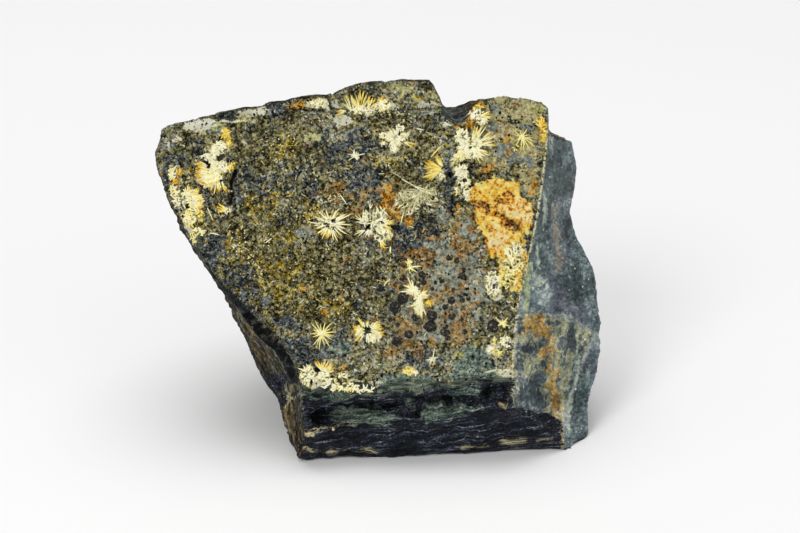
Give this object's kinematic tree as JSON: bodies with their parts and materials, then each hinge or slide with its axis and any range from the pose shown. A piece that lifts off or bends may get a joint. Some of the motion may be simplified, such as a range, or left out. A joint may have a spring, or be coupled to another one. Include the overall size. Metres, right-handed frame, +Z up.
{
  "type": "braunite specimen",
  "caption": "Dark foliated stone whose flat leaning face carries radiating sprays of cream and golden needle crystals, standing on its broken lower end.",
  "frame": {"origin": "on the resting surface, below the middle of the part's box", "axes": "+Z up, -Y towards the decorated face, +X to the right of someone who looks at that face"},
  "size_m": [0.0816, 0.0546, 0.0637],
  "materials": {
    "stone": "rough, speckled with ochre, olive and slate grains; smooth dark grey on the side",
    "cream_needles": "silky radiating needles, cream with golden tips",
    "gold_needles": "silky radiating needles, golden yellow",
    "black_nodules": "small rounded grains, dull black"
  },
  "bodies": {
    "root": {"rock": "stone", "spray_upper_left": "cream_needles", "spray_left_edge": "cream_needles", "spray_left_rim": "cream_needles", "spray_left_small": "cream_needles", "spray_streak": "gold_needles", "spray_top_fan": "gold_needles", "spray_top_rim": "cream_needles", "spray_small_star": "cream_needles", "spray_top_mid": "cream_needles", "spray_gold_fan": "gold_needles", "spray_upper_right": "cream_needles", "spray_notch": "cream_needles", "spray_thin_star": "gold_needles", "spray_corner": "gold_needles", "spray_upright_patch": "cream_needles", "spray_olive": "cream_needles", "spray_centre_left": "cream_needles", "spray_centre_right": "cream_needles", "spray_mid_star": "gold_needles", "spray_mid_long": "cream_needles", "spray_right_edge": "cream_needles", "spray_clean_star": "cream_needles", "spray_dark_eye": "cream_needles", "spray_lower_left": "cream_needles", "spray_tall_needle": "cream_needles", "spray_low_gold": "gold_needles", "spray_right_small": "gold_needles", "spray_right_patch": "cream_needles"}
  },
  "joints": []
}
